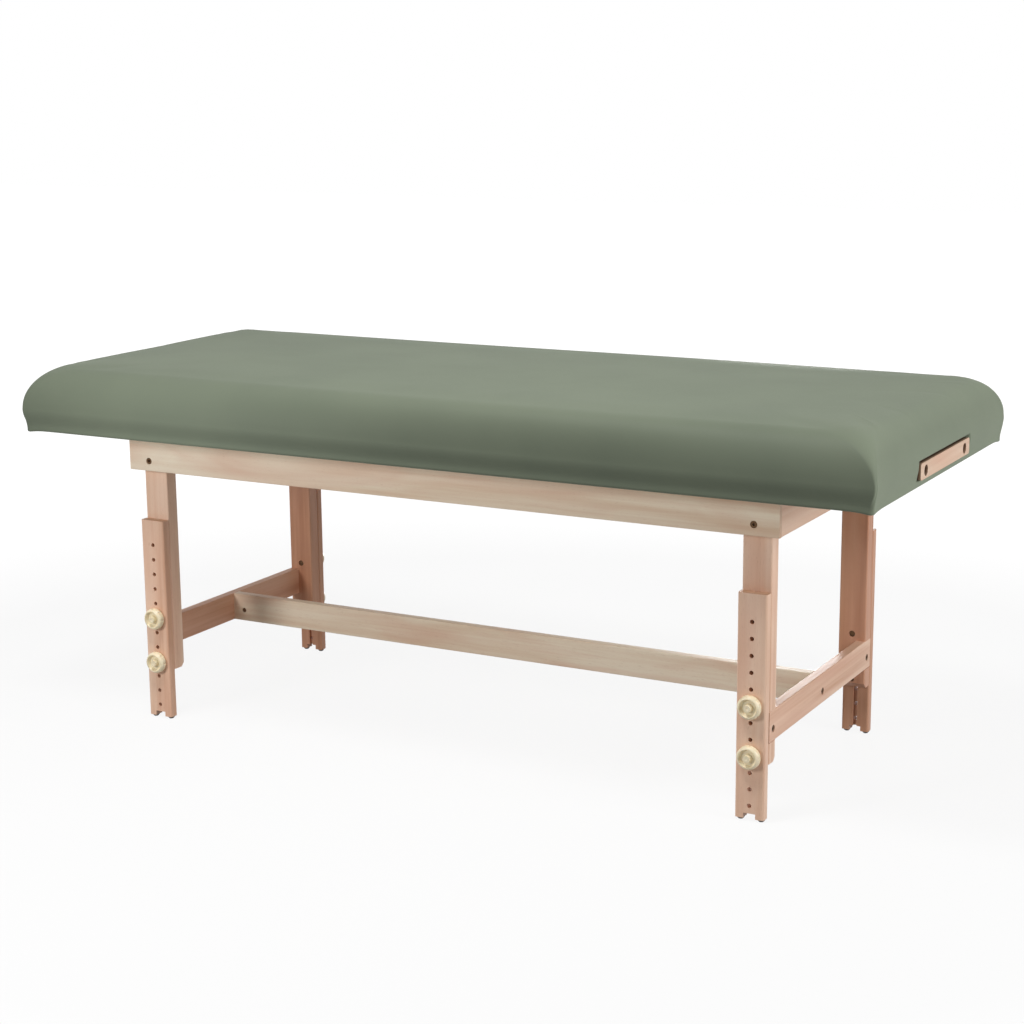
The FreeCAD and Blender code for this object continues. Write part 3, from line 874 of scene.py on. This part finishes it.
@dataclass
class Hardware:
    """Knobs, glides, bolts, nuts, inserts and screws."""

    knob: MouldedFinish = CREAM_PLASTIC
    glide: MouldedFinish = DARK_NYLON
    bolt: MetalFinish = BROWNED_STEEL
    nut: MetalFinish = ZINC_STEEL
    insert: MetalFinish = BRASS

    def build(self) -> None:
        """Dress every piece of hardware."""
        knob, glide = self.knob.material("cream_plastic"), self.glide.material("dark_nylon")
        bolt, nut = self.bolt.material("browned_steel"), self.nut.material("zinc_steel")
        insert = self.insert.material("brass_insert")
        for corner in Corner:
            dress("glides_" + corner.value, glide)
            for level in Level:
                dress(f"knob_{corner.value}_{level.value}", knob)
                dress(f"knob_nut_{corner.value}_{level.value}", nut)
        for node in ("rail_bolts", "crossbar_bolts", "stretcher_bolts", "barrel_nuts", "knob_studs"):
            dress(node, bolt)
        for node in ("rail_nuts", "deck_screws", "block_screws"):
            dress(node, nut)
        dress("crossbar_inserts", insert)


@dataclass
class Lamp:
    """One soft lamp: where it hangs, what it looks at, its size, its power in watts and what it reaches."""

    name: str
    place: Triple
    target: Triple
    size: float
    power: float
    reach: Reach = Reach.ALL

    def build(self) -> bpy.types.Object:
        """Hang the lamp.

        Returns:
            The lamp.
        """
        data = bpy.data.lights.new(self.name, "AREA")
        data.shape = "DISK"
        data.size = self.size
        data.energy = self.power
        lamp = bpy.data.objects.new(self.name, data)
        lamp.visible_camera = False
        lamp.location = self.place
        lamp.rotation_euler = (Vector(self.target) - Vector(self.place)).to_track_quat("-Z", "Y").to_euler()
        bpy.context.scene.collection.objects.link(lamp)
        return lamp

    def flag(self, padding: bpy.types.Object) -> None:
        """Keep the lamp's light on or off the padding, as its reach says.

        Args:
            padding: The padded top.
        """
        if self.reach is Reach.ALL:
            return
        chosen = bpy.data.collections.new(self.name + "_flag")
        chosen.objects.link(padding)
        chosen.collection_objects[0].light_linking.link_state = self.reach.value
        bpy.data.objects[self.name].light_linking.receiver_collection = chosen


@dataclass
class Studio:
    """Pale floor, soft lamps, white surround and the photograph's camera."""

    eye: Triple = (2.03777, -3.69049, 1.38562)
    azimuth: float = 28.639
    elevation: float = 12.421
    roll: float = -0.527
    focal_pixels: float = 2092.8
    image_pixels: float = 1024.0
    sensor: float = 36.0
    floor_half: float = 14.0
    floor_shade: float = 0.4
    floor_white: tuple[float, float] = (0.8, 1.0)
    floor_glow: float = 0.12
    floor_fade: tuple[float, float] = (1.5, 3.2)
    ambient: float = 0.13
    lamps: tuple[Lamp, ...] = (
        Lamp("overhead", (-0.1, -1.2, 3.3), (0.0, -0.1, 0.7), 0.8, 54.0),
        Lamp("right_side", (4.2, -0.4, 1.7), (0.5, 0.0, 0.6), 2.0, 96.0),
        Lamp("front_key", (-1.3, -2.8, 1.3), (0.0, -0.1, 0.4), 0.9, 38.0, Reach.NOT_PADDING),
        Lamp("left_fill", (-0.65, -0.95, 0.69), (-0.5, -0.39, 0.67), 0.2, 1.3, Reach.ONLY_PADDING),
        Lamp("back_fill", (-0.6, 3.2, 0.38), (-0.1, 0.2, 0.5), 0.7, 50.0))

    def camera(self) -> None:
        """Set up the camera from the fitted angles, its axes turned by the roll."""
        turn, lift, roll = (math.radians(angle) for angle in (self.azimuth, self.elevation, self.roll))
        back = np.array([math.sin(turn) * math.cos(lift), -math.cos(turn) * math.cos(lift), math.sin(lift)])
        right = np.array([math.cos(turn), math.sin(turn), 0.0])
        up = np.cross(back, right)
        right, up = (math.cos(roll) * right + math.sin(roll) * up,
                     -math.sin(roll) * right + math.cos(roll) * up)
        data = bpy.data.cameras.new("camera")
        data.sensor_width = self.sensor
        data.lens = self.focal_pixels / self.image_pixels * self.sensor
        data.clip_end = 100.0
        camera = bpy.data.objects.new("camera", data)
        turned = Matrix(np.stack([right, up, back], axis=1).tolist())
        camera.matrix_world = Matrix.LocRotScale(Vector(self.eye), turned, None)
        bpy.context.scene.collection.objects.link(camera)
        bpy.context.scene.camera = camera

    def seen_directly(self, tree: bpy.types.NodeTree) -> Socket:
        """Find the rays that see the surround: camera, glossy and transmission rays, added up.

        Args:
            tree: The node tree.

        Returns:
            A value of 1 for those rays.
        """
        path = tree.nodes.new("ShaderNodeLightPath")
        first = tree.nodes.new("ShaderNodeMath")
        second = tree.nodes.new("ShaderNodeMath")
        second.use_clamp = True
        tree.links.new(path.outputs["Is Camera Ray"], first.inputs[0])
        tree.links.new(path.outputs["Is Glossy Ray"], first.inputs[1])
        tree.links.new(first.outputs[0], second.inputs[0])
        tree.links.new(path.outputs["Is Transmission Ray"], second.inputs[1])
        return second.outputs[0]

    def surround(self) -> None:
        """White world for what sees it, with a plain ambient light on the object."""
        world = bpy.data.worlds.new("surround")
        bpy.context.scene.world = world
        world.use_nodes = True
        tree = world.node_tree
        light = tree.nodes["Background"]
        light.inputs["Color"].default_value = (1.0, 1.0, 1.0, 1.0)
        light.inputs["Strength"].default_value = self.ambient
        white = tree.nodes.new("ShaderNodeBackground")
        white.inputs["Color"].default_value = (1.0, 1.0, 1.0, 1.0)
        mix = tree.nodes.new("ShaderNodeMixShader")
        tree.links.new(self.seen_directly(tree), mix.inputs[0])
        tree.links.new(light.outputs[0], mix.inputs[1])
        tree.links.new(white.outputs[0], mix.inputs[2])
        tree.links.new(mix.outputs[0], tree.nodes["World Output"].inputs["Surface"])

    def floor(self) -> None:
        """Lay a wide pale floor that reads white and keeps a faint shadow.

        It lets the white surround through, so that a foot that is let down below it still shows.
        """
        half = self.floor_half
        mesh = bpy.data.meshes.new("floor")
        corners = [(-half, -half, 0.0), (half, -half, 0.0), (half, half, 0.0), (-half, half, 0.0)]
        mesh.from_pydata(corners, [], [(0, 1, 2, 3)])
        floor = bpy.data.objects.new("floor", mesh)
        bpy.context.scene.collection.objects.link(floor)
        material = bpy.data.materials.new("pale_floor")
        material.use_nodes = True
        tree = material.node_tree
        plain = tree.nodes["Principled BSDF"]
        plain.inputs["Base Color"].default_value = (self.floor_shade,) * 3 + (1.0,)
        plain.inputs["Roughness"].default_value = 1.0
        plain.inputs["Specular IOR Level"].default_value = 0.0
        white = tree.nodes.new("ShaderNodeEmission")
        white.inputs["Strength"].default_value = self.floor_glow
        where = tree.nodes.new("ShaderNodeTexCoord")
        reach = tree.nodes.new("ShaderNodeVectorMath")
        reach.operation = "LENGTH"
        fade = tree.nodes.new("ShaderNodeMapRange")
        ranges = zip(("From Min", "From Max", "To Min", "To Max"), self.floor_fade + self.floor_white)
        for socket, value in ranges:
            fade.inputs[socket].default_value = value
        share = tree.nodes.new("ShaderNodeMath")
        share.operation = "MULTIPLY"
        mix = tree.nodes.new("ShaderNodeMixShader")
        tree.links.new(where.outputs["Object"], reach.inputs[0])
        tree.links.new(reach.outputs["Value"], fade.inputs["Value"])
        tree.links.new(fade.outputs["Result"], share.inputs[1])
        tree.links.new(self.seen_directly(tree), share.inputs[0])
        path = tree.nodes.new("ShaderNodeLightPath")
        passed = tree.nodes.new("ShaderNodeMath")
        passed.operation = "MAXIMUM"
        tree.links.new(share.outputs[0], passed.inputs[0])
        tree.links.new(path.outputs["Is Shadow Ray"], passed.inputs[1])
        clear = tree.nodes.new("ShaderNodeBsdfTransparent")
        bright = tree.nodes.new("ShaderNodeAddShader")
        tree.links.new(clear.outputs[0], bright.inputs[0])
        tree.links.new(white.outputs[0], bright.inputs[1])
        tree.links.new(passed.outputs[0], mix.inputs[0])
        tree.links.new(plain.outputs[0], mix.inputs[1])
        tree.links.new(bright.outputs[0], mix.inputs[2])
        tree.links.new(mix.outputs[0], tree.nodes["Material Output"].inputs["Surface"])
        mesh.materials.append(material)

    def build(self) -> None:
        """Set up the whole studio."""
        bpy.context.scene.view_settings.view_transform = "Standard"
        self.camera()
        self.surround()
        self.floor()
        for lamp in self.lamps:
            lamp.build()
        LOG.info("set up the studio with %d lamps", len(self.lamps))


def main() -> None:
    """Build the table and its studio in order."""
    logging.basicConfig(level=logging.INFO, format="%(message)s")
    studio = Studio()
    studio.build()
    WoodenFrame().build()
    Hardware().build()
    padding = PaddedTop().build()
    for lamp in studio.lamps:
        lamp.flag(padding)


if __name__ == "__main__":
    main()
